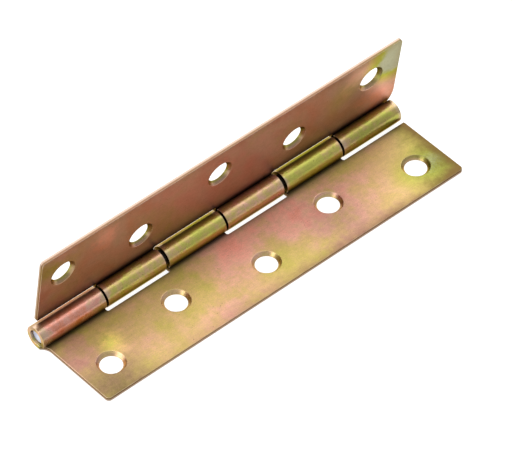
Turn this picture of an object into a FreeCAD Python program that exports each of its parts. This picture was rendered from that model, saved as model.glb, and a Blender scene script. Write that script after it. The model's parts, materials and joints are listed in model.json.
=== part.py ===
"""A pressed-steel butt hinge, open at a little less than a right angle.

Millimetres. The hinge axis is X and passes through the origin, halfway along the fixed leaf.
The fixed leaf lies flat below the axis, on the -Y side, and +Z points out of its face.
Each leaf is one strip of sheet: flat, with the screw holes, then rolled round the pin.
"""
import FreeCAD, Part
import os

import Sketcher
from FreeCAD import Placement, Rotation, Vector

DIMENSIONS = [
    ("leaf_length", 100.0, "length of a leaf along the barrel"),
    ("leaf_reach", 21.9, "hinge axis to the free edge of a leaf"),
    ("gauge", 0.95, "sheet thickness"),
    ("barrel_radius", 2.7, "outside radius of a knuckle"),
    ("pin_radius", 1.7, "0.05 less than the knuckle's bore"),
    ("seam_gap", 0.15, "rolled end to the face of the leaf"),
    ("opening", 81.0, "degrees between the leaves as stored"),
    ("first_joint", -33.71, "middle of the gap after the first knuckle"),
    ("knuckle_pitch", 16.61, "one gap to the next"),
    ("knuckle_gap", 0.74, "between neighbouring knuckles, play included"),
    ("play", 0.17, "how far the moving leaf has slid towards -X"),
    ("fixed_slot", 2.9, "hinge axis to the floor of the fixed leaf's knuckle slots"),
    ("moving_slot", 2.45, "the same for the moving leaf"),
    ("slot_corner", 0.4, "radius in the corners of a slot"),
    ("corner", 0.9, "radius of a leaf's free corners"),
    ("hole_radius", 2.5, "screw hole"),
    ("sink_radius", 3.35, "mouth of the countersink"),
    ("hole_pitch", 21.45, "one hole to the next along the leaf"),
    ("outer_row", 7.5, "free edge to the first, third and fifth hole"),
    ("inner_row", 11.8, "free edge to the second and fourth hole"),
    ("overhang", 1.2, "fixed leaf: its end knuckle stands out this far"),
    ("flare", 3.2, "fixed leaf: radius from its end edge out to that knuckle"),
    ("flare_offset", 0.8, "fixed leaf: slot floor to where the flare starts"),
    ("setback", 1.0, "moving leaf: its end knuckle stops short by this much"),
    ("relief", 5.2, "moving leaf: radius that takes its end edge in to the barrel"),
    ("relief_inset", 2.5, "moving leaf: how far the relief takes the end edge in"),
    ("relief_root", 0.9, "moving leaf: hinge axis to where the relief stops"),
    ("slip", 0.45, "moving leaf: its ends are this far towards +X of the fixed leaf's"),
    ("hole_slip", -0.55, "moving leaf: the same for its holes"),
    ("pin_recess", 0.5, "end of the pin inside the end of the barrel"),
    ("pin_chamfer", 0.25, "bevel on the pin's ends"),
    ("margin", 2.0, "how far a cut runs past the metal"),
]

KNUCKLES = 6
FIXED_KNUCKLES = (1, 3, 5)
MOVING_KNUCKLES = (2, 4, 6)
HOLES = 5
COUNTERSINK_ANGLE = 90.0
TOUCH = 1e-6
LEAST_CUT = 0.1
FACE = "gauge - barrel_radius"
FIXED_BARREL_END = "0 - leaf_length / 2 - overhang"
MOVING_BARREL_END = "slip + leaf_length / 2 - setback"

doc = FreeCAD.newDocument("butt_hinge")
sheet = doc.addObject("Spreadsheet::Sheet", "dims")
for row, (alias, size, note) in enumerate(DIMENSIONS, start=1):
    sheet.set(f"A{row}", alias)
    sheet.set(f"B{row}", str(size))
    sheet.set(f"C{row}", note)
    sheet.setAlias(f"B{row}", alias)
doc.recompute()


def formula(text):
    """Spell out the sheet's aliases in a formula, so that an object can be bound to it."""
    words = {alias: f"dims.{alias}" for alias, _, _ in DIMENSIONS}
    return " ".join(words.get(word, word) for word in text.split())


def number(text):
    return float(sheet.evalExpression(formula(text)))


def bind(item, prop, text):
    item.setExpression(prop, formula(text))


def sketch_on(body, name, role, height="0"):
    """A sketch on one of the body's own origin planes, raised to a height along its normal."""
    plane = next(f for f in body.Origin.OriginFeatures if f.Role == role)
    sketch = body.newObject("Sketcher::SketchObject", name)
    sketch.AttachmentSupport = [(plane, "")]
    sketch.MapMode = "FlatFace"
    bind(sketch, ".AttachmentOffset.Base.z", height)
    return sketch


def coordinate(sketch, kind, geometry, point, text):
    """Hold one coordinate of a sketch point at a formula's value."""
    index = sketch.addConstraint(Sketcher.Constraint(kind, geometry, point, number(text)))
    bind(sketch, f"Constraints[{index}]", text)


def outline(sketch, corners):
    """Draw a closed outline and tie every corner and radius to the sheet.

    A corner is (x, y), reached by a straight line, or (x, y, radius, centre x, centre y, turn),
    reached by an arc that turns anticlockwise for +1 and clockwise for -1.
    """
    first = sketch.GeometryCount
    start = corners[-1]
    for corner in corners:
        here = Vector(number(start[0]), number(start[1]), 0)
        there = Vector(number(corner[0]), number(corner[1]), 0)
        if len(corner) == 2:
            sketch.addGeometry(Part.LineSegment(here, there))
        else:
            _, _, radius, centre_x, centre_y, turn = corner
            centre = Vector(number(centre_x), number(centre_y), 0)
            circle = Part.Circle(centre, Vector(0, 0, 1), number(radius))
            ends = (here, there) if turn > 0 else (there, here)
            angles = [circle.parameter(end) for end in ends]
            arc = sketch.addGeometry(Part.ArcOfCircle(circle, *angles))
            held = sketch.addConstraint(Sketcher.Constraint("Radius", arc, number(radius)))
            bind(sketch, f"Constraints[{held}]", radius)
        start = corner
    count = len(corners)
    for step, corner in enumerate(corners):
        turned = len(corner) > 2 and corner[5] < 0
        following = corners[(step + 1) % count]
        next_turned = len(following) > 2 and following[5] < 0
        end = (first + step, 1 if turned else 2)
        begin = (first + (step + 1) % count, 2 if next_turned else 1)
        sketch.addConstraint(Sketcher.Constraint("Coincident", *end, *begin))
        coordinate(sketch, "DistanceX", *end, corner[0])
        coordinate(sketch, "DistanceY", *end, corner[1])


def cut_flat(body, name, sketch):
    """Pocket a sketch on the leaf's face down through the flat."""
    cut(body, name, sketch, "gauge", False)


def cut_roll(body, name, sketch):
    """Pocket a sketch on the leaf's face up through the roll."""
    cut(body, name, sketch, "2 * barrel_radius", True)


def cut(body, name, sketch, depth, upward):
    before = body.Shape.Volume
    pocket = body.newObject("PartDesign::Pocket", name)
    pocket.Profile = sketch
    pocket.Reversed = upward
    bind(pocket, "Length", depth)
    doc.recompute()
    if body.Shape.Volume > before - LEAST_CUT:
        raise RuntimeError(f"{name} cut nothing")


def round_upright_edges(body, name, radius, chosen):
    """Round the edges along Z whose middle the chosen function accepts."""
    edges = []
    for index, edge in enumerate(body.Shape.Edges, start=1):
        run = edge.Vertexes[-1].Point - edge.Vertexes[0].Point
        middle = edge.CenterOfMass
        if abs(abs(run.z) - number("gauge")) < TOUCH and chosen(middle):
            edges.append(f"Edge{index}")
    base = body.Tip
    fillet = body.newObject("PartDesign::Fillet", name)
    fillet.Base = (base, edges)
    bind(fillet, "Radius", radius)
    doc.recompute()


def joint(index):
    """Formula for the middle of the gap after knuckle number index, counted from -X."""
    return f"first_joint + {index - 1} * knuckle_pitch"


def rolled_strip(body, side, low, high):
    """The leaf's flat and its roll in one section, drawn out along the barrel."""
    turn = -side
    section = sketch_on(body, f"{body.Name}_section", "YZ_Plane", low)
    reach = f"{side} * leaf_reach"
    bore = "barrel_radius - gauge"
    drop = f"( {bore} - seam_gap )"
    out = f"sqrt( barrel_radius ^ 2 - {drop} ^ 2 )"
    shrink = f"( {bore} ) / barrel_radius"
    outline(
        section,
        [
            (reach, "0 - barrel_radius"),
            ("0", "0 - barrel_radius"),
            (f"{side} * {out}", f"0 - {drop}", "barrel_radius", "0", "0", turn),
            (f"{side} * {shrink} * {out}", f"0 - {shrink} * {drop}"),
            ("0", f"0 - ( {bore} )", bore, "0", "0", -turn),
            (reach, f"0 - ( {bore} )"),
        ],
    )
    strip = body.newObject("PartDesign::Pad", f"{body.Name}_rolled_strip")
    strip.Profile = section
    bind(strip, "Length", f"( {high} ) - ( {low} )")
    doc.recompute()


def knuckle_slots(body, side, knuckles, low, high, slot, slide):
    """Clear the flat and the roll where the other leaf's knuckles go."""
    flat = sketch_on(body, f"{body.Name}_slots", "XY_Plane", FACE)
    roll = sketch_on(body, f"{body.Name}_roll_gaps", "XY_Plane", FACE)
    floor = f"{side} * {slot}"
    front = f"{side} * ( barrel_radius + margin )"
    back = f"0 - {front}"
    for index in range(1, KNUCKLES + 1):
        if index in knuckles:
            continue
        start = f"{joint(index - 1)} - knuckle_gap / 2 - {slide}"
        end = f"{joint(index)} + knuckle_gap / 2 - {slide}"
        if index == 1:
            start = f"{low} - margin"
        if index == KNUCKLES:
            end = f"{high} + margin"
        outline(flat, [(start, floor), (end, floor), (end, back), (start, back)])
        outline(roll, [(start, front), (end, front), (end, back), (start, back)])
    cut_flat(body, f"{body.Name}_knuckle_slots", flat)
    cut_roll(body, f"{body.Name}_knuckle_gaps", roll)


def flared_end(body, side, edge, barrel_end, slot):
    """Trim the fixed leaf's end edge, which flares out to meet its longer end knuckle."""
    trim = sketch_on(body, f"{body.Name}_flare", "XY_Plane", FACE)
    begin = f"{side} * ( {slot} + flare_offset )"
    close = f"{begin} - {side} * sqrt( flare ^ 2 - ( flare - overhang ) ^ 2 )"
    past = f"{side} * ( leaf_reach + margin )"
    outer = f"{barrel_end} - margin"
    outline(
        trim,
        [
            (edge, past),
            (edge, begin),
            (barrel_end, close, "flare", f"{edge} - flare", begin, -side),
            (outer, close),
            (outer, past),
        ],
    )
    cut_flat(body, f"{body.Name}_flared_end", trim)


def relieved_end(body, side, edge, barrel_end):
    """Round the moving leaf's end edge in to the barrel and stop its end knuckle short."""
    run = "sqrt( relief ^ 2 - ( relief - relief_inset ) ^ 2 )"
    begin = f"{side} * ( relief_root + {run} )"
    root = f"{side} * relief_root"
    front = f"{side} * ( barrel_radius + margin )"
    back = f"0 - {front}"
    outer = f"{edge} + margin"
    trim = sketch_on(body, f"{body.Name}_relief", "XY_Plane", FACE)
    outline(
        trim,
        [
            (edge, begin),
            (f"{edge} - relief_inset", root, "relief", f"{edge} - relief", begin, -side),
            (barrel_end, root),
            (barrel_end, back),
            (outer, back),
            (outer, begin),
        ],
    )
    cut_flat(body, f"{body.Name}_relieved_end", trim)

    short = sketch_on(body, f"{body.Name}_setback", "XY_Plane", FACE)
    outline(short, [(barrel_end, front), (outer, front), (outer, back), (barrel_end, back)])
    cut_roll(body, f"{body.Name}_knuckle_end", short)


def screw_holes(body, side, slide):
    """Countersunk holes in two rows, opening on the face that shows when the hinge is open."""
    centres = sketch_on(body, f"{body.Name}_hole_centres", "XY_Plane", FACE)
    for index in range(HOLES):
        across = f"{index - HOLES // 2} * hole_pitch + {slide}"
        row = "inner_row" if index % 2 else "outer_row"
        down = f"{side} * ( leaf_reach - {row} )"
        middle = Vector(number(across), number(down), 0)
        circle = centres.addGeometry(Part.Circle(middle, Vector(0, 0, 1), number("hole_radius")))
        coordinate(centres, "DistanceX", circle, 3, across)
        coordinate(centres, "DistanceY", circle, 3, down)
        held = centres.addConstraint(
            Sketcher.Constraint("Radius", circle, number("hole_radius"))
        )
        bind(centres, f"Constraints[{held}]", "hole_radius")
    doc.recompute()
    before = body.Shape.Volume
    hole = body.newObject("PartDesign::Hole", f"{body.Name}_screw_holes")
    hole.Profile = centres
    doc.recompute()
    hole.DepthType = "ThroughAll"
    hole.HoleCutType = "Countersink"
    hole.HoleCutCustomValues = True
    hole.HoleCutCountersinkAngle = COUNTERSINK_ANGLE
    bind(hole, "Diameter", "2 * hole_radius")
    bind(hole, "HoleCutDiameter", "2 * sink_radius")
    doc.recompute()
    if body.Shape.Volume > before - LEAST_CUT:
        raise RuntimeError(f"{hole.Name} cut nothing")


def leaf(name, side, knuckles, low_edge, high_edge, barrel_end, slot, slides):
    """One leaf lying flat, on the side of the axis given by side, with the numbered knuckles.

    The barrel end lies past or short of one of the two edges. slot is the distance of the
    slots' floors from the axis, and slides is how far slots and holes are moved along X.
    """
    body = doc.addObject("PartDesign::Body", name)
    body.Label = name
    low, _, high = sorted((low_edge, high_edge, barrel_end), key=number)
    rolled_strip(body, side, low, high)
    knuckle_slots(body, side, knuckles, low, high, slot, slides[0])
    if low == barrel_end:
        flared_end(body, side, low_edge, barrel_end, slot)
    else:
        relieved_end(body, side, high_edge, barrel_end)

    def at_free_corner(middle):
        return abs(abs(middle.y) - number("leaf_reach")) < TOUCH

    def at_slot_corner(middle):
        inside = number(low_edge) + TOUCH < middle.x < number(high_edge) - TOUCH
        return inside and abs(abs(middle.y) - number(slot)) < TOUCH

    round_upright_edges(body, f"{name}_free_corners", "corner", at_free_corner)
    round_upright_edges(body, f"{name}_slot_corners", "slot_corner", at_slot_corner)
    screw_holes(body, side, slides[1])
    return body


def hinge_pin():
    """A plain wire pin with bevelled ends, a little shorter than the barrel."""
    body = doc.addObject("PartDesign::Body", "hinge_pin")
    body.Label = "hinge_pin"
    start = f"{FIXED_BARREL_END} + pin_recess"
    end = f"{MOVING_BARREL_END} - pin_recess"
    section = sketch_on(body, "pin_section", "YZ_Plane", start)
    circle = section.addGeometry(Part.Circle(Vector(), Vector(0, 0, 1), number("pin_radius")))
    section.addConstraint(Sketcher.Constraint("Coincident", circle, 3, -1, 1))
    held = section.addConstraint(Sketcher.Constraint("Radius", circle, number("pin_radius")))
    bind(section, f"Constraints[{held}]", "pin_radius")
    wire = body.newObject("PartDesign::Pad", "pin_wire")
    wire.Profile = section
    bind(wire, "Length", f"( {end} ) - ( {start} )")
    doc.recompute()
    rims = []
    for index, edge in enumerate(body.Shape.Edges, start=1):
        if edge.isClosed():
            rims.append(f"Edge{index}")
    bevel = body.newObject("PartDesign::Chamfer", "pin_bevel")
    bevel.Base = (wire, rims)
    bind(bevel, "Size", "pin_chamfer")
    doc.recompute()
    return body


fixed = leaf(
    "fixed_leaf",
    -1,
    FIXED_KNUCKLES,
    "0 - leaf_length / 2",
    "leaf_length / 2",
    FIXED_BARREL_END,
    "fixed_slot",
    ("0", "0"),
)
moving = leaf(
    "moving_leaf",
    1,
    MOVING_KNUCKLES,
    "slip - leaf_length / 2",
    "slip + leaf_length / 2",
    MOVING_BARREL_END,
    "moving_slot",
    ("play", "hole_slip"),
)
moving.Placement = Placement(Vector(), Rotation(Vector(1, 0, 0), 180 - number("opening")))
bind(moving, ".Placement.Rotation.Angle", "180 - opening")
pin = hinge_pin()
doc.recompute()

for item in doc.Objects:
    if "Invalid" in item.State or "Error" in item.State:
        raise RuntimeError(f"{item.Name} is {item.State}")
for sketch in doc.findObjects("Sketcher::SketchObject"):
    if not sketch.FullyConstrained:
        raise RuntimeError(f"{sketch.Name} is not fully constrained")
for body in (fixed, moving, pin):
    if body.Shape.isNull() or not body.Shape.isValid() or len(body.Shape.Solids) != 1:
        raise RuntimeError(f"{body.Label} is not one valid solid")

os.makedirs("parts", exist_ok=True)
for body in (fixed, moving, pin):
    body.Shape.exportStep(f"parts/{body.Label}.step")
    box = body.Shape.BoundBox
    print(
        f"{body.Label}: {body.Shape.Volume:.1f} mm3,"
        f" X {box.XMin:.2f} to {box.XMax:.2f},"
        f" Y {box.YMin:.2f} to {box.YMax:.2f},"
        f" Z {box.ZMin:.2f} to {box.ZMax:.2f}"
    )
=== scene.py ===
import json
import math
from collections import namedtuple

import bpy
from mathutils import Matrix, Vector
from mathutils.geometry import delaunay_2d_cdt


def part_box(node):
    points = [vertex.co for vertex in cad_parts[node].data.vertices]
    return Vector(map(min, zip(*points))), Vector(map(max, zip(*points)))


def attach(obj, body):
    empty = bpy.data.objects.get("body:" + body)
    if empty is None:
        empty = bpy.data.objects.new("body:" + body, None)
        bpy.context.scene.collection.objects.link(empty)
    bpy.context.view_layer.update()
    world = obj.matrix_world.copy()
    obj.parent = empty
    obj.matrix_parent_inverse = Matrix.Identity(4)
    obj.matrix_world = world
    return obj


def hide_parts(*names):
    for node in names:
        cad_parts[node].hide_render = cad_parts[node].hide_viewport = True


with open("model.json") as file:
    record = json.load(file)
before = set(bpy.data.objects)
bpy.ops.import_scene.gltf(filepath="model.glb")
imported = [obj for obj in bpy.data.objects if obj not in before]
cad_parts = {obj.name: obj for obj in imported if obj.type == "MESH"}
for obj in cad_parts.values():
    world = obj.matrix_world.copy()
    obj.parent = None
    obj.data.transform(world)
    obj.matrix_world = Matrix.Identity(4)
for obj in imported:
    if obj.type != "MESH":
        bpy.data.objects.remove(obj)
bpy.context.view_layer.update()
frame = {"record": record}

MM = 0.001

# Everything below is in millimetres unless a line multiplies by MM.
# The frame gives the outside sizes. The sizes named here are the ones that it doesn't hold.
GAUGE = 0.95  # thickness of the sheet
SEAM_GAP = 0.15  # rolled end to the face of the leaf
FIRST_JOINT = -33.71  # middle of the gap after the first knuckle
KNUCKLE_PITCH = 16.61
KNUCKLE_GAP = 0.74  # between neighbouring knuckles, play included
PLAY = 0.17  # how far the moving leaf has slid towards -X
FIXED_SLOT = 2.9  # hinge axis to the floor of the fixed leaf's knuckle slots
MOVING_SLOT = 2.45  # the same for the moving leaf
SLOT_CORNER = 0.4  # radius in the corners of a slot
CORNER = 0.9  # radius of a leaf's free corners
SINK_DEPTH = 0.85  # depth of a 90 degree countersink
FLARE = 3.2  # fixed leaf: radius from its end edge out to its longer end knuckle
FLARE_OFFSET = 0.8  # fixed leaf: slot floor to where the flare starts
RELIEF = 5.2  # moving leaf: radius that takes its end edge in to the barrel
RELIEF_ROOT = 0.9  # moving leaf: hinge axis to where the relief stops
RELIEF_INSET = 2.5  # moving leaf: how far the relief takes the end edge in

# Roundings that the press leaves on the sheared metal
ROLL_OVER = 0.11  # edge at the face
BURR_SIDE = 0.07  # edge at the back, and the foot of a countersink
SINK_ROLL = 0.35  # mouth of a countersink
ROLL_CORNER = 0.3  # corners of the rolled ends

# Fineness of the meshes
STEP = 1.0  # longest stretch of an outline
ROLL_STEP_DEGREES = 5.0
HOLE_SIDES = 72
FILLET_PIECES = 7
FLARE_PIECES = 8
RELIEF_PIECES = 10
BEND_PIECES = 3
FLAT_POINTS = 2.0  # spacing of the points on the flat
CLEAR = 0.45  # room between the outline and the rows of points inside it
FLAT_RIM = 0.17  # strip of the flat that borders every rounded edge
LEAST_COSINE = 0.3  # limit to the stretch of an offset at a sharp corner
WELD = 1e-5  # outline points closer than this are one


def node_box(node):
    low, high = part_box(node)
    return Vector(low) / MM, Vector(high) / MM


FIXED_LOW, FIXED_HIGH = node_box("fixed_leaf")
MOVING_LOW, MOVING_HIGH = node_box("moving_leaf")
PIN_LOW, PIN_HIGH = node_box("hinge_pin")
MOUNTS = {mount["name"]: mount for mount in frame["record"]["mounts"]}

BARREL = -FIXED_LOW.z
REACH = -FIXED_LOW.y
HALF_LENGTH = FIXED_HIGH.x
HOLE_RADIUS = MOUNTS["fixed_leaf_outer_screws"]["dims"]["hole_r_mm"]
PIN_RADIUS = PIN_HIGH.z
PIN_RECESS = PIN_LOW.x - FIXED_LOW.x
MOVING_BARREL_END = PIN_HIGH.x + PIN_RECESS
BACK = MOUNTS["moving_leaf_back"]["axis"]
OPENING = math.atan2(BACK[1], BACK[2])

ROLL_END_ANGLE = 2 * math.pi - math.acos((BARREL - GAUGE - SEAM_GAP) / BARREL)
ROLL_END = -BARREL * ROLL_END_ANGLE
ROLL_ROW = BARREL * math.radians(ROLL_STEP_DEGREES)


# ---------------------------------------------------------------- outlines of the blanks
# A blank is the leaf before it is rolled, seen from the face that shows when the hinge is open.
# Its coordinates are along (X) and down (the distance from the axis, negative in the roll).
# Its knuckles are pairs of ends, low and high are the ends of the flat, and slot is how far down
# the slots between the knuckles reach.

Blank = namedtuple("Blank", "corners knuckles low high slot")


def arc(centre, radius, start, end, pieces):
    """Points on an arc, ends included. Angles are in degrees."""
    points = []
    for index in range(pieces + 1):
        angle = math.radians(start + (end - start) * index / pieces)
        points.append(Vector((
            centre[0] + radius * math.cos(angle),
            centre[1] + radius * math.sin(angle),
        )))
    return points


def rounded(corners):
    """Points of a closed outline. A corner is (x, y) or (x, y, fillet radius)."""
    points = []
    count = len(corners)
    for index, corner in enumerate(corners):
        here = Vector(corner[:2])
        if len(corner) == 2:
            points.append(here)
            continue
        radius = corner[2]
        before = (Vector(corners[index - 1][:2]) - here).normalized()
        after = (Vector(corners[(index + 1) % count][:2]) - here).normalized()
        half = before.angle(after) / 2
        centre = here + (before + after).normalized() * radius / math.sin(half)
        start = here + before * radius / math.tan(half) - centre
        end = here + after * radius / math.tan(half) - centre
        for step in range(FILLET_PIECES + 1):
            points.append(centre + start.slerp(end, step / FILLET_PIECES) * radius)
    return points


def divided(points):
    """Split long straight stretches, so that the roll's edges bend and the flat has no slivers."""
    made = []
    for here, there in zip(points, points[1:] + points[:1]):
        made.append(here)
        stops = [0.0, 1.0]
        if here.y * there.y < 0:
            stops.insert(1, here.y / (here.y - there.y))
        for start, end in zip(stops, stops[1:]):
            middle = here.lerp(there, (start + end) / 2)
            run = (there - here) * (end - start)
            rows = abs(run.y) / ROLL_ROW if middle.y < 0 else 0
            pieces = max(1, math.ceil(run.length / STEP), math.ceil(rows))
            if start > 0:
                made.append(here.lerp(there, start))
            for step in range(1, pieces):
                made.append(here.lerp(there, start + (end - start) * step / pieces))
    return made


def joint(index):
    """Middle of the gap after knuckle number index, counted from -X."""
    return FIRST_JOINT + (index - 1) * KNUCKLE_PITCH


def knuckle_ends(index, slide):
    """Where a knuckle between two gaps begins and ends."""
    return (
        joint(index - 1) + KNUCKLE_GAP / 2 - slide,
        joint(index) - KNUCKLE_GAP / 2 - slide,
    )


def knuckle_corners(start, end, slot):
    """A knuckle between two slots: up from a slot's floor, along the rolled end and down."""
    return [
        (start, slot, SLOT_CORNER),
        (start, ROLL_END, ROLL_CORNER),
        (end, ROLL_END, ROLL_CORNER),
        (end, slot, SLOT_CORNER),
    ]


def fixed_blank():
    """Anticlockwise from the flared end: knuckles 1, 3 and 5, then the free edge."""
    slot = FIXED_SLOT
    overhang = -HALF_LENGTH - FIXED_LOW.x
    turn = math.degrees(math.acos((FLARE - overhang) / FLARE))
    flare_middle = (-HALF_LENGTH - FLARE, slot + FLARE_OFFSET)
    flare = arc(flare_middle, FLARE, 0, -turn, FLARE_PIECES)
    first_knuckle = (FIXED_LOW.x, joint(1) - KNUCKLE_GAP / 2)
    knuckles = [first_knuckle, knuckle_ends(3, 0), knuckle_ends(5, 0)]
    corners = [tuple(point) for point in flare]
    corners += knuckle_corners(*first_knuckle, slot)[1:]
    for start, end in knuckles[1:]:
        corners += knuckle_corners(start, end, slot)
    corners += [
        (HALF_LENGTH, slot, ROLL_CORNER),
        (HALF_LENGTH, REACH, CORNER),
        (-HALF_LENGTH, REACH, CORNER),
    ]
    return Blank(corners, knuckles, -HALF_LENGTH, HALF_LENGTH, slot)


def moving_blank():
    """Anticlockwise from the plain end: knuckles 2, 4 and 6, the relief, then the free edge."""
    slot = MOVING_SLOT
    low, high = MOVING_LOW.x, MOVING_HIGH.x
    last_knuckle = (joint(5) + KNUCKLE_GAP / 2 - PLAY, MOVING_BARREL_END)
    knuckles = [knuckle_ends(2, PLAY), knuckle_ends(4, PLAY), last_knuckle]
    run = math.sqrt(RELIEF ** 2 - (RELIEF - RELIEF_INSET) ** 2)
    turn = math.degrees(math.asin(run / RELIEF))
    relief = arc((high - RELIEF, RELIEF_ROOT + run), RELIEF, -turn, 0, RELIEF_PIECES)
    corners = [(low, slot, ROLL_CORNER)]
    for start, end in knuckles[:-1]:
        corners += knuckle_corners(start, end, slot)
    corners += knuckle_corners(*last_knuckle, slot)[:-1]
    corners.append((MOVING_BARREL_END, RELIEF_ROOT, ROLL_CORNER))
    corners += [tuple(point) for point in relief]
    corners += [(high, REACH, CORNER), (low, REACH, CORNER)]
    return Blank(corners, knuckles, low, high, slot)


def hole_centres(leaf):
    """The outer row's two holes with the one halfway between them, and the inner row's two."""
    centres = []
    for row in ("outer", "inner"):
        mount = MOUNTS[f"{leaf}_{row}_screws"]
        spread = mount["dims"].get("spacing_x_mm") or mount["dims"]["pcd_mm"]
        place = Vector(mount["pos_m"]) / MM
        down = math.sqrt(place.y ** 2 + place.z ** 2 - BARREL ** 2)
        centres += [Vector((place.x - spread / 2, down)), Vector((place.x + spread / 2, down))]
        if row == "outer":
            centres.append(Vector((place.x, down)))
    return centres


# ---------------------------------------------------------------- building a leaf
# side is -1 for the leaf that reaches towards -Y before it is turned about the pin, and 1 for the
# other. A profile runs round a sheared edge from the face to the back. Each of its points is
# (outward, depth, tilt of the surface in degrees, wear): the tilt is 0 on the face, 90 on the
# wall and 180 on the back, and the wear is 0 except on the bends.


def bend(outward, depth, radius, start, end, wear=1.0):
    """Profile points round a convex bend. The given point is where the bend's centre lies."""
    points = []
    for index in range(BEND_PIECES + 1):
        tilt = start + (end - start) * index / BEND_PIECES
        angle = math.radians(tilt)
        points.append((
            outward + radius * math.sin(angle),
            depth - radius * math.cos(angle),
            tilt,
            wear if 0 < index < BEND_PIECES else 0.0,
        ))
    return points


def edge_profile():
    """The outline's edge: rolled over at the face, with a smaller rounding at the back."""
    points = bend(-ROLL_OVER, ROLL_OVER, ROLL_OVER, 0, 90)
    points += bend(-BURR_SIDE, GAUGE - BURR_SIDE, BURR_SIDE, 90, 180)
    return points


def hole_profile():
    """A screw hole's edge: a 90 degree countersink down to a short straight wall."""
    tangent = math.tan(math.radians(22.5))
    mouth = ROLL_OVER * tangent  # from the sharp rim out to where the rounding starts
    foot = BURR_SIDE * tangent
    points = bend(-SINK_DEPTH - mouth, SINK_ROLL, SINK_ROLL, 0, 45, wear=0.2)
    points += bend(-BURR_SIDE, SINK_DEPTH + foot, BURR_SIDE, 45, 90, wear=0.5)
    points += bend(-BURR_SIDE, GAUGE - BURR_SIDE, BURR_SIDE, 90, 180)
    return points


def placer(side, turn):
    """A function from blank coordinates to a place, the way down and the face's normal there."""
    rotation = Matrix.Rotation(turn, 3, "X")
    bore = BARREL - GAUGE

    def place(along, down, depth):
        angle = max(0.0, -down / BARREL)
        flat = max(0.0, down)
        radial = Vector((0, -side * math.sin(angle), -math.cos(angle)))
        away = Vector((0, side * math.cos(angle), -math.sin(angle)))
        point = Vector((along, 0, 0)) + radial * (bore + depth) + away * flat
        return rotation @ point, rotation @ away, rotation @ -radial

    return place


def outward_normals(points):
    """Unit directions out of a closed outline that runs anticlockwise, with their stretch."""
    normals = []
    count = len(points)
    for index in range(count):
        before = points[index] - points[index - 1]
        after = points[(index + 1) % count] - points[index]
        first = Vector((before.y, -before.x)).normalized()
        second = Vector((after.y, -after.x)).normalized()
        middle = (first + second).normalized()
        normals.append((middle, 1 / max(LEAST_COSINE, middle.dot(first))))
    return normals


def add_object(name, mesh):
    item = bpy.data.objects.new(name, mesh)
    bpy.context.scene.collection.objects.link(item)
    return item


class Shell:
    """Collects the vertices and faces of one leaf, with what its material needs to know."""

    def __init__(self, place):
        self.place = place
        self.points = []
        self.normals = []
        self.blank = []
        self.wear = []
        self.tilt = []
        self.faces = []

    def vertex(self, flat, depth, tilt=0.0, outward=None, wear=0.0):
        point, away, up = self.place(flat.x, flat.y, depth)
        normal = up * math.cos(math.radians(tilt))
        if outward is not None:
            across = Vector((1, 0, 0)) * outward.x + away * outward.y
            normal += across * math.sin(math.radians(tilt))
        self.points.append(point * MM)
        self.normals.append(normal.normalized())
        self.blank.append((flat.x, flat.y, depth))
        self.wear.append(wear)
        self.tilt.append(tilt)
        return len(self.points) - 1

    def rim(self, base, profile):
        """Rings of vertices along a loop, joined by quads. Returns the face's and back's rings."""
        outwards = outward_normals(base)
        face_rim = (profile[0][0] - FLAT_RIM, 0.0, 0.0, 0.0)
        back_rim = (profile[-1][0] - FLAT_RIM, GAUGE, 180.0, 0.0)
        rings = []
        for offset, depth, tilt, wear in [face_rim, *profile, back_rim]:
            ring = []
            for point, (outward, stretch) in zip(base, outwards):
                flat = point + outward * stretch * offset
                ring.append(self.vertex(flat, depth, tilt, outward, wear))
            rings.append(ring)
        count = len(base)
        for upper, lower in zip(rings, rings[1:]):
            for index in range(count):
                after = (index + 1) % count
                self.faces.append((upper[index], lower[index], lower[after], upper[after]))
        return rings[0], rings[-1]

    def skin(self, outline, holes, inner, depth, tilt):
        """Fill a face or a back between its rings with triangles through the inner points."""
        loops = [outline] + holes
        drilled = {index: number for number, ring in enumerate(holes) for index in ring}
        rim = [index for loop in loops for index in loop]
        spots = [Vector(self.blank[index][:2]) for index in rim]
        ties = []
        start = 0
        for loop in loops:
            count = len(loop)
            ties += [(start + step, start + (step + 1) % count) for step in range(count)]
            start += count
        inside_only = 1
        made = delaunay_2d_cdt(spots + inner, ties, [], inside_only, WELD)
        places, _, triangles, sources = made[:4]
        known = []
        for spot, source in zip(places, sources):
            if source and source[0] < len(rim):
                known.append(rim[source[0]])
            else:
                known.append(self.vertex(spot, depth, tilt))
        for triangle in triangles:
            corners = [known[corner] for corner in triangle]
            rings = {drilled.get(corner) for corner in corners}
            covers_hole = len(rings) == 1 and None not in rings
            if covers_hole:
                continue
            if tilt > 90:
                corners.reverse()
            self.faces.append(corners)

    def to_object(self, name, mirrored):
        if mirrored:
            self.faces = [tuple(reversed(face)) for face in self.faces]
        mesh = bpy.data.meshes.new(name)
        mesh.from_pydata(self.points, [], self.faces)
        mesh.validate()
        blank = mesh.attributes.new("blank", "FLOAT_VECTOR", "POINT")
        blank.data.foreach_set("vector", [value for spot in self.blank for value in spot])
        for kind, values in (("wear", self.wear), ("tilt", self.tilt)):
            attribute = mesh.attributes.new(kind, "FLOAT", "POINT")
            attribute.data.foreach_set("value", values)
        mesh.shade_smooth()
        mesh.normals_split_custom_set_from_vertices(self.normals)
        return add_object(name, mesh)


def roll_points(blank):
    """Rows of points along the knuckles, and one row where they leave the flat."""
    points = []
    rows = int((-ROLL_END - CLEAR) / ROLL_ROW)
    for start, end in blank.knuckles:
        columns = max(2, round((end - start) / STEP))
        downs = [-row * ROLL_ROW for row in range(rows + 1)] + [blank.slot / 2]
        for down in downs:
            for column in range(1, columns):
                points.append(Vector((start + (end - start) * column / columns, down)))
    return points


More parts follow.
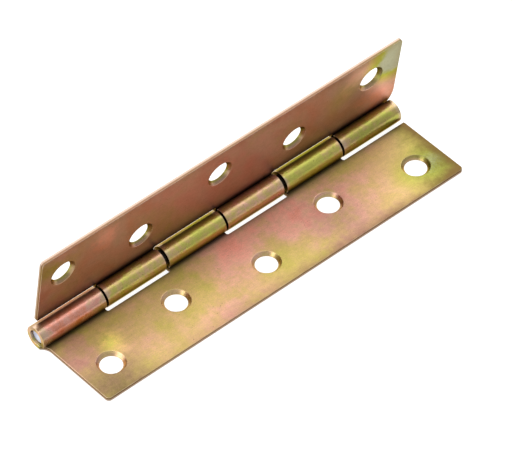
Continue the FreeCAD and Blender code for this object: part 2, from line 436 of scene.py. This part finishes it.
def flat_points(blank, holes):
    """A coarse grid on the flat, clear of the holes."""
    points = []
    left = blank.low + 2 * CLEAR
    width = blank.high - 2 * CLEAR - left
    top = blank.slot + CLEAR + ROLL_OVER
    height = REACH - 2 * CLEAR - top
    columns = round(width / FLAT_POINTS)
    lines = round(height / FLAT_POINTS)
    hole_room = HOLE_RADIUS + SINK_DEPTH + 2 * CLEAR
    for line in range(lines + 1):
        for column in range(columns + 1):
            spot = Vector((left + width * column / columns, top + height * line / lines))
            if all((spot - centre).length > hole_room for centre in holes):
                points.append(spot)
    return points


def build_leaf(node, blank, side, turn, material):
    shell = Shell(placer(side, turn))
    base = divided(rounded(blank.corners))
    face, back = shell.rim(base, edge_profile())
    face_holes, back_holes = [], []
    centres = hole_centres(node)
    for centre in centres:
        ring = arc(centre, HOLE_RADIUS, 360, 0, HOLE_SIDES)[:-1]
        upper, lower = shell.rim(ring, hole_profile())
        face_holes.append(upper)
        back_holes.append(lower)
    inner = roll_points(blank) + flat_points(blank, centres)
    shell.skin(face, face_holes, inner, 0.0, 0.0)
    shell.skin(back, back_holes, inner, GAUGE, 180.0)
    leaf = shell.to_object(f"{node}_pressed_sheet", side < 0)
    leaf.data.materials.append(material)
    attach(leaf, node)
    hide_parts(node)


# ---------------------------------------------------------------- building the pin
PIN_STEPS = 72
PIN_BEVEL = 0.25
PIN_CROWN = 0.12  # how far the middle of a cut end stands out
CROWN_RINGS = 5
BEVEL_RINGS = 4


def pin_end_rings():
    """Rings of a cut end from its middle outwards, as (radius, depth from the bevel's start)."""
    rings = []
    for step in range(1, CROWN_RINGS + 1):
        share = step / CROWN_RINGS
        rings.append(((PIN_RADIUS - PIN_BEVEL) * share, -PIN_CROWN * (1 - share ** 2)))
    for step in range(1, BEVEL_RINGS + 1):
        angle = math.radians(90 * step / BEVEL_RINGS)
        rings.append((
            PIN_RADIUS - PIN_BEVEL * (1 - math.sin(angle)),
            PIN_BEVEL * (1 - math.cos(angle)),
        ))
    return rings


def build_pin(end_material, side_material):
    """A cut length of wire with bevelled, slightly crowned ends."""
    end = pin_end_rings()
    low = [(radius, PIN_LOW.x + PIN_CROWN + depth) for radius, depth in end]
    high = [(radius, PIN_HIGH.x - PIN_CROWN - depth) for radius, depth in reversed(end)]
    rings = low + high
    points, faces = [], []
    for radius, along in rings:
        for step in range(PIN_STEPS):
            angle = 2 * math.pi * step / PIN_STEPS
            points.append(Vector((along, radius * math.cos(angle), radius * math.sin(angle))))
    for row in range(len(rings) - 1):
        here, there = row * PIN_STEPS, (row + 1) * PIN_STEPS
        for step in range(PIN_STEPS):
            after = (step + 1) % PIN_STEPS
            faces.append((here + step, here + after, there + after, there + step))
    last = (len(rings) - 1) * PIN_STEPS
    for tip, first in ((PIN_LOW.x, 0), (PIN_HIGH.x, last)):
        middle = len(points)
        points.append(Vector((tip, 0, 0)))
        for step in range(PIN_STEPS):
            pair = (first + step, first + (step + 1) % PIN_STEPS)
            if first == 0:
                pair = pair[::-1]
            faces.append((middle, *pair))
    mesh = bpy.data.meshes.new("hinge_pin_wire")
    mesh.from_pydata([point * MM for point in points], [], faces)
    mesh.shade_smooth()
    mesh.materials.append(end_material)
    mesh.materials.append(side_material)
    sides = (len(low) - 1) * PIN_STEPS
    for step in range(PIN_STEPS):
        mesh.polygons[sides + step].material_index = 1
    pin = add_object("hinge_pin_wire", mesh)
    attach(pin, "fixed_leaf")
    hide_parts("hinge_pin")


# ---------------------------------------------------------------- shader nodes
def colour(red, green, blue):
    """A colour given as it looks on a screen, 0 to 255, as the linear one that shaders use."""
    linear = []
    for value in (red, green, blue):
        share = value / 255
        linear.append(share / 12.92 if share <= 0.04045 else ((share + 0.055) / 1.055) ** 2.4)
    return (*linear, 1.0)


WHITE = (1.0, 1.0, 1.0, 1.0)


class Wiring:
    """Nodes of a material or of the world. An input is a number, a vector or an output."""

    def __init__(self, tree):
        self.nodes = tree.nodes
        self.links = tree.links
        self.nodes.clear()

    def add(self, kind, settings=(), inputs=()):
        node = self.nodes.new(f"ShaderNode{kind}")
        for name, value in dict(settings).items():
            setattr(node, name, value)
        for name, value in dict(inputs).items():
            if isinstance(value, bpy.types.NodeSocket):
                self.links.new(value, node.inputs[name])
            else:
                node.inputs[name].default_value = value
        return node

    def math(self, operation, first, second=0.0):
        return self.add("Math", {"operation": operation}, {0: first, 1: second}).outputs[0]

    def sum(self, total, *others):
        for other in others:
            total = self.math("ADD", total, other)
        return total

    def product(self, total, *others):
        for other in others:
            total = self.math("MULTIPLY", total, other)
        return total

    def less(self, value, taken):
        return self.math("SUBTRACT", value, taken)

    def distance(self, value, place):
        return self.math("ABSOLUTE", self.less(value, place))

    def vector(self, operation, first, second, output=0):
        settings = {"operation": operation}
        return self.add("VectorMath", settings, {0: first, 1: second}).outputs[output]

    def object_place(self):
        return self.add("TexCoord").outputs["Object"]

    def noise(self, place, scale, detail, roughness=0.5):
        inputs = {"Vector": place, "Scale": scale, "Detail": detail, "Roughness": roughness}
        return self.add("TexNoise", (), inputs).outputs[0]

    def spread(self, value, low, high, to_low=0.0, to_high=1.0):
        """Map a range of values smoothly to another, held at its ends."""
        inputs = {0: value, 1: low, 2: high, 3: to_low, 4: to_high}
        return self.add("MapRange", {"interpolation_type": "SMOOTHSTEP"}, inputs).outputs[0]

    def mottle(self, noise, low, high):
        """Spread a noise, which seldom leaves 0.3 to 0.7, over a range."""
        return self.spread(noise, 0.3, 0.7, low, high)

    def mix(self, share, first, second):
        return self.add("Mix", {"data_type": "RGBA"}, {0: share, 6: first, 7: second}).outputs[2]

    def ramp(self, value, stops):
        node = self.add("ValToRGB", (), {0: value})
        bar = node.color_ramp.elements
        while len(bar) < len(stops):
            bar.new(0.5)
        for element, (place, tone) in zip(bar, stops):
            element.position = place
            element.color = tone
        return node.outputs[0]

    def bump(self, height, strength):
        inputs = {"Strength": strength, "Distance": 0.04 * MM, "Height": height}
        return self.add("Bump", (), inputs).outputs[0]

    def surface(self, **inputs):
        named = {name.replace("_", " "): value for name, value in inputs.items()}
        shader = self.add("BsdfPrincipled", (), named)
        output = self.add("OutputMaterial")
        self.links.new(shader.outputs[0], output.inputs[0])


def new_material(name):
    material = bpy.data.materials.new(name)
    material.use_nodes = True
    return material


# ---------------------------------------------------------------- the plated sheet
# Tints of the passivated zinc, from a thin film to a thick one
TINTS = [
    (-0.3, colour(226, 146, 116)),
    (0.0, colour(234, 170, 154)),
    (0.2, colour(227, 179, 157)),
    (0.4, colour(214, 182, 134)),
    (0.6, colour(204, 188, 110)),
    (0.8, colour(196, 200, 96)),
    (1.0, colour(204, 207, 180)),
]
TINT_SCALE = 0.8
EDGE_ON = colour(224, 200, 150)
WORN = colour(200, 176, 156)
SHEARED = colour(180, 158, 144)
SPECK = colour(112, 90, 62)
# colour of the painted shade on the knuckle end walls inside the gaps
GAP_SHADE = colour(58, 46, 38)
BROWN_STAIN_AND_SHADE = colour(106, 80, 50)
ROLL_DULLNESS = 0.3
ROLL_FILM_LIMIT = 0.95
SHADE_BAND = -7.7  # middle of the band of painted shade along the roll

# What differs between the two leaves' coats, with the light and shade painted on them:
# film: usual thickness, which times TINT_SCALE is a place among the tints
# dullness: roughness of the flat
# shade: painted shade, how much darker the flat is painted
# tip_dirt: the same painted shade, in the groove at the rolled end
# joints: middle of a gap between knuckles, as the leaf lies
# browned: how brown the edges are at the +X end, a stain deepened by painted shade
# patches: (along, down, radius, film, light). Round that place of the blank the coat is thicker
#     (more green) or thinner (more pink) by film, and light paints a highlight where it is above 0
#     and shade where it is below 0.
Coat = namedtuple("Coat", "film dullness shade tip_dirt joints browned patches")

FIXED_COAT = Coat(
    film=0.55,
    dullness=0.6,
    shade=0.0,
    tip_dirt=0.55,
    joints=FIRST_JOINT,
    browned=0.85,
    patches=[
        (-39.5, 10.8, 5.0, 0.2, 0.45),
        (-46.0, 7.0, 8.0, -0.3, -0.15),
        (-46.0, 21.0, 13.0, 0.15, -0.55),
        (-32.0, 12.0, 9.0, -0.1, 0.0),
        (-17.0, 13.0, 11.0, -0.05, 0.14),
        (-14.0, 22.0, 9.0, -0.25, -0.12),
        (-4.0, 6.0, 13.0, -0.45, 0.1),
        (1.0, 15.5, 9.0, 0.25, 0.0),
        (12.0, 8.0, 11.0, -0.35, 0.0),
        (18.0, 12.0, 10.0, -0.25, -0.12),
        (27.0, 8.0, 8.0, -0.25, 0.0),
        (43.0, 14.0, 11.0, 0.3, -0.1),
        (50.0, 5.0, 9.0, 0.2, -0.4),
        (49.0, 18.0, 14.0, 0.35, -0.5),
        (21.0, 19.0, 13.0, -0.15, -0.22),
        (-43.0, -10.0, 13.0, -1.0, 0.0),
        (-9.0, -10.0, 11.0, 0.15, 0.0),
        (24.0, -10.0, 11.0, 0.15, 0.0),
    ],
)
MOVING_COAT = Coat(
    film=0.2,
    dullness=0.42,
    shade=0.39,
    tip_dirt=0.3,
    joints=FIRST_JOINT - PLAY,
    browned=0.3,
    patches=[
        (-30.0, 10.0, 14.0, -0.2, 0.0),
        (-43.0, 16.0, 7.0, 0.45, 0.0),
        (-48.5, 19.0, 6.0, 0.5, -0.1),
        (34.0, 14.0, 8.0, 0.4, 0.1),
        (-32.0, 18.0, 5.0, -0.1, 0.35),
        (49.0, 17.5, 12.0, 1.4, 0.14),
        (46.0, 6.0, 9.0, -0.3, 0.8),
        (38.0, 18.0, 6.0, -0.1, 0.5),
        (-26.0, -9.0, 14.0, 0.6, 0.0),
        (8.0, -9.0, 11.0, 0.0, 0.05),
        (40.0, -9.0, 15.0, 0.6, -0.25),
    ],
)


class PlatedSheet(Wiring):
    """Satin sheet with a yellow passivated zinc coat, burnished on the roll.

    Masks run from 0 to 1. Places and distances are millimetres on the blank.
    """

    def __init__(self, tree, coat):
        super().__init__(tree)
        self.coat = coat
        self.blank = self.attribute("blank", "Vector")
        self.wear = self.attribute("wear", "Fac")
        tilt = self.attribute("tilt", "Fac")
        self.along, self.down, self.into = self.add("SeparateXYZ", (), {0: self.blank}).outputs

        self.flat = self.spread(self.down, 0.5, 2.5)
        self.back = self.product(self.flat, self.spread(self.into, 0.3, 0.7))
        sloping = self.spread(self.distance(tilt, 45.0), 5.0, 30.0, 1.0, 0.0)
        self.cone = self.product(self.flat, sloping)
        self.wall = self.spread(self.distance(tilt, 90.0), 1.0, 5.0, 1.0, 0.0)
        self.from_end = self.less(HALF_LENGTH, self.math("ABSOLUTE", self.along))
        self.from_edge = self.math("MINIMUM", self.from_end, self.less(REACH, self.down))
        self.from_tip = self.less(self.down, ROLL_END)
        at_end = self.spread(self.from_end, 0.8, 1.5, 1.0, 0.0)
        self.open_wall = self.product(self.wall, self.math("MAXIMUM", self.flat, at_end))

        self.cloudy = self.noise(self.blank, 0.3, 4.0, 0.55)
        self.fine = self.noise(self.blank, 3.0, 3.0, 0.6)
        drawn = self.vector("MULTIPLY", self.blank, (0.25, 3.0, 1.0))
        self.grain = self.noise(drawn, 1.6, 4.0, 0.65)
        specks = self.noise(self.blank, 2.6, 2.0)
        self.speck = self.spread(specks, 0.68, 0.75)

    def attribute(self, name, output):
        return self.add("Attribute", {"attribute_name": name}).outputs[output]

    def over_flat(self, on_roll, on_flat):
        """A value that changes from the roll to the flat."""
        return self.spread(self.flat, 0.0, 1.0, on_roll, on_flat)

    def film(self):
        """Thickness of the coat before the patches."""
        usual = self.coat.film
        broad = self.noise(self.blank, 0.055, 2.0)
        blotches = self.mottle(self.noise(self.blank, 0.7, 3.0, 0.55), -0.18, 0.18)
        return self.sum(
            self.spread(broad, 0.25, 0.75, usual - 0.2, usual + 0.2),
            self.mottle(self.cloudy, -0.09, 0.09),
            self.mottle(self.fine, -0.05, 0.05),
            self.over_flat(0.15, 0.0),
            self.product(blotches, self.less(1.0, self.flat)),
            self.product(self.cone, 0.8 * (0.4 - usual)),
            self.product(self.back, 0.6 - usual),
        )

    def patched(self, film, light):
        """The film and the painted light and shade with the patches added, which are smaller on
        the back.
        """
        wobble = self.sum(self.mottle(self.cloudy, -1.2, 1.2), self.product(self.back, 4.0))
        for along, down, radius, more_film, more_light in self.coat.patches:
            away = self.vector("DISTANCE", self.blank, (along, down, 0.0), output="Value")
            away = self.sum(away, wobble)
            film = self.sum(film, self.spread(away, 0.0, radius, more_film, 0.0))
            light = self.sum(light, self.spread(away, 0.0, radius, more_light, 0.0))
        return film, light

    def dirt(self):
        """Painted shade: share of the light taken off beside the barrel, in the countersinks,
        along a band on the roll and at the tip.
        """
        corner = self.sum(
            self.spread(self.down, 2.6, 5.0, 0.35, 0.0),
            self.spread(self.down, 2.3, 3.5, 0.45, 0.0),
        )
        corner = self.math("MAXIMUM", corner, self.product(self.cone, 0.1))
        corner = self.product(corner, self.spread(self.down, 0.5, 1.5))
        from_band = self.distance(self.down, SHADE_BAND)
        band = self.spread(from_band, 0.5, 1.7, 0.5, 0.0)
        tip = self.spread(self.from_tip, 0.9, 2.6, self.coat.tip_dirt, 0.0)
        return self.math("MAXIMUM", self.math("MAXIMUM", corner, band), tip)

    def coated(self):
        """Colour of the coat before rubbing and brown edges, with painted shade and highlights in
        it.
        """
        film, light = self.patched(
            self.film(),
            self.mottle(self.noise(self.blank, 0.9, 6.0, 0.7), 0.93, 1.05),
        )
        film = self.math("MINIMUM", film, self.over_flat(ROLL_FILM_LIMIT, 2.0))
        thinnest, thickest = TINTS[0][0], TINTS[-1][0]
        span = thickest - thinnest
        place = self.math("DIVIDE", self.less(self.product(film, TINT_SCALE), thinnest), span)
        tint = self.ramp(place, [((stop - thinnest) / span, tone) for stop, tone in TINTS])
        light = self.product(
            light,
            self.mottle(self.grain, 0.95, 1.04),
            self.mottle(self.noise(self.blank, 5.0, 2.0, 0.6), 0.9, 1.08),
            # painted shade on the roll and the flat, then beside the barrel, in the countersinks,
            # the band and at the tip
            self.over_flat(0.9, 1.0 - self.coat.shade),
            self.less(1.0, self.dirt()),
        )
        return self.add("VectorMath", {"operation": "SCALE"}, {0: tint, 3: light}).outputs[0]

    def edge_stain_and_shade(self):
        """Share of brown along the free edges: a stain, made wider and stronger towards the +X end
        by painted shade.
        """
        browned = self.coat.browned
        away = self.sum(
            self.from_edge,
            self.mottle(self.cloudy, -0.7, 0.7),
            self.spread(self.along, 38.0, 50.0, 0.0, -1.8 * browned),
        )
        return self.product(
            self.spread(away, -1.5, 3.4, 1.0, 0.0),
            self.spread(self.along, -50.0, 50.0, 0.2, browned),
            self.flat,
        )

    def stained(self, tint):
        """Specks, brown edges that are stain and painted shade, and sheared walls that are pale in
        their lower half.
        """
        tint = self.mix(self.product(self.speck, 0.55), tint, SPECK)
        tint = self.mix(self.edge_stain_and_shade(), tint, BROWN_STAIN_AND_SHADE)
        flat_wall = self.product(self.open_wall, self.flat)
        tint = self.mix(self.product(flat_wall, 0.7), tint, BROWN_STAIN_AND_SHADE)
        low_wall = self.product(flat_wall, self.spread(self.into, 0.35, 0.65))
        return self.mix(low_wall, tint, SHEARED)

    def rubbed(self, tint):
        """Pale rounded edges and knuckle ends."""
        edges = self.product(
            self.wear,
            self.spread(self.from_tip, 0.2, 0.6, 0.15, 1.0),
            self.spread(self.cloudy, 0.3, 0.65, 0.2, 0.7),
        )
        tint = self.mix(edges, tint, WORN)
        from_joint = self.less(self.along, self.coat.joints)
        from_joint = self.math("PINGPONG", from_joint, KNUCKLE_PITCH / 2)
        from_joint = self.sum(from_joint, self.spread(self.cloudy, 0.35, 0.65, -0.5, 0.6))
        knuckle_ends = self.product(
            self.spread(from_joint, 0.4, 1.3, 0.6, 0.0),
            self.spread(self.down, -3.0, -1.5, 1.0, 0.0),
        )
        return self.mix(knuckle_ends, tint, WORN)

    def dullness(self):
        usual = self.coat.dullness
        return self.sum(
            self.over_flat(ROLL_DULLNESS, usual),
            self.product(self.cone, 0.28 - usual),
            self.mottle(self.cloudy, -0.03, 0.05),
            self.product(self.speck, 0.2),
        )

    def wire(self):
        tint = self.rubbed(self.stained(self.coated()))
        # painted shade: the knuckles' end walls inside the gaps are painted near black
        between_knuckles = self.less(self.wall, self.open_wall)
        tint = self.mix(self.product(between_knuckles, 0.9), tint, GAP_SHADE)
        self.surface(
            Base_Color=tint,
            Metallic=1.0,
            Roughness=self.dullness(),
            Specular_Tint=EDGE_ON,
            Normal=self.bump(self.sum(self.grain, self.product(self.fine, 0.6)), 0.18),
        )


def plated_sheet(name, coat):
    material = new_material(name)
    PlatedSheet(material.node_tree, coat).wire()
    return material


# ---------------------------------------------------------------- the pin's materials
def bright_wire(name):
    """Bright zinc on the pin's cut ends: cool, with faint marks."""
    material = new_material(name)
    wiring = Wiring(material.node_tree)
    place = wiring.object_place()
    drawn = wiring.vector("MULTIPLY", place, (120.0, 2600.0, 2600.0))
    marks = wiring.noise(drawn, 1.0, 4.0, 0.6)
    tones = [(0.3, colour(168, 174, 194)), (0.7, colour(206, 212, 226))]
    wiring.surface(
        Base_Color=wiring.ramp(wiring.noise(place, 900.0, 3.0), tones),
        Metallic=0.4,
        Roughness=wiring.mottle(marks, 0.4, 0.55),
        Normal=wiring.bump(marks, 0.2),
    )
    return material


def shadowed_wire(name):
    """The pin's sides inside the knuckles: painted dark for the shade inside the barrel, with
    drawing marks.
    """
    material = new_material(name)
    wiring = Wiring(material.node_tree)
    drawn = wiring.vector("MULTIPLY", wiring.object_place(), (150.0, 2600.0, 2600.0))
    marks = wiring.noise(drawn, 1.0, 4.0, 0.6)
    tones = [(0.3, colour(38, 32, 30)), (0.7, colour(62, 54, 50))]
    wiring.surface(
        Base_Color=wiring.ramp(marks, tones),
        Metallic=0.6,
        Roughness=wiring.mottle(marks, 0.45, 0.6),
    )
    return material


# ---------------------------------------------------------------- floor, light and camera
FLOOR_HALF = 3000.0
FLOOR_GAP = 0.05  # floor to the fixed leaf, so that the two are never in one plane
FLOOR_GLOW = 0.92
SKY = 0.4

# Directions from which the sky is stronger: (direction, its faint edge and its full part as
# cosines, strength)
LOBES = [
    ((0.0, 0.0, 1.0), 0.0, 0.45, 0.25),
    ((0.455, 0.524, 0.72), 0.45, 1.0, 2.0),
    ((-0.75, 0.4, 0.5), 0.75, 0.95, 2.0),
]

CAMERA_AZIMUTH = 40.945
CAMERA_ELEVATION = 46.067
CAMERA_ROLL = -0.633
CAMERA_DISTANCE = 1001.41
CAMERA_TARGET = Vector((4.391, -6.111, 0.0))
CAMERA_LENS = 331.9
CAMERA_SENSOR = 36.0
CAMERA_NEAREST = 10.0


def floor_paint():
    material = new_material("floor_paint")
    wiring = Wiring(material.node_tree)
    paper = wiring.noise(wiring.object_place(), 400.0, 3.0)
    tones = [(0.3, colour(140, 140, 140)), (0.7, colour(146, 146, 146))]
    wiring.surface(
        Base_Color=wiring.ramp(paper, tones),
        Roughness=0.9,
        Specular_IOR_Level=0.0,
        Emission_Color=WHITE,
        Emission_Strength=FLOOR_GLOW,
    )
    return material


def build_floor():
    """A plain pale table under the hinge."""
    half = FLOOR_HALF * MM
    level = (FIXED_LOW.z - FLOOR_GAP) * MM
    mesh = bpy.data.meshes.new("floor")
    corners = [(-half, -half), (half, -half), (half, half), (-half, half)]
    mesh.from_pydata([(x, y, level) for x, y in corners], [], [(0, 1, 2, 3)])
    mesh.materials.append(floor_paint())
    add_object("floor", mesh)


def light_sky():
    """Soft white light from all sides, stronger from the lobes."""
    world = bpy.data.worlds.new("studio")
    bpy.context.scene.world = world
    world.use_nodes = True
    wiring = Wiring(world.node_tree)
    direction = wiring.add("TexCoord").outputs["Generated"]
    strength = SKY
    for toward, edge, full, extra in LOBES:
        toward = Vector(toward).normalized()
        facing = wiring.vector("DOT_PRODUCT", direction, toward, output="Value")
        strength = wiring.sum(strength, wiring.spread(facing, edge, full, 0.0, extra))
    background = wiring.add("Background", (), {"Color": WHITE, "Strength": strength})
    output = wiring.add("OutputWorld")
    wiring.links.new(background.outputs[0], output.inputs[0])


def place_camera():
    """Looks down on the hinge from the near end, over the fixed leaf."""
    azimuth = math.radians(CAMERA_AZIMUTH)
    elevation = math.radians(CAMERA_ELEVATION)
    roll = math.radians(CAMERA_ROLL)
    ahead = Vector((
        math.sin(azimuth) * math.cos(elevation),
        math.cos(azimuth) * math.cos(elevation),
        -math.sin(elevation),
    ))
    level = ahead.cross(Vector((0, 0, 1))).normalized()
    upright = level.cross(ahead)
    right = level * math.cos(roll) + upright * math.sin(roll)
    up = right.cross(ahead)
    turn = Matrix((right, up, -ahead)).transposed()
    data = bpy.data.cameras.new("camera")
    data.lens = CAMERA_LENS
    data.sensor_width = CAMERA_SENSOR
    data.clip_start = CAMERA_NEAREST * MM
    camera = add_object("camera", data)
    spot = (CAMERA_TARGET - ahead * CAMERA_DISTANCE) * MM
    camera.matrix_world = Matrix.Translation(spot) @ turn.to_4x4()
    bpy.context.scene.camera = camera


# ---------------------------------------------------------------- the whole scene
build_leaf(
    "fixed_leaf",
    fixed_blank(),
    side=-1,
    turn=0.0,
    material=plated_sheet("fixed_leaf_plating", FIXED_COAT),
)
build_leaf(
    "moving_leaf",
    moving_blank(),
    side=1,
    turn=math.pi - OPENING,
    material=plated_sheet("moving_leaf_plating", MOVING_COAT),
)
build_pin(bright_wire("pin_cut_ends"), shadowed_wire("pin_shaft"))
build_floor()
light_sky()
place_camera()
bpy.context.scene.view_settings.view_transform = "Standard"
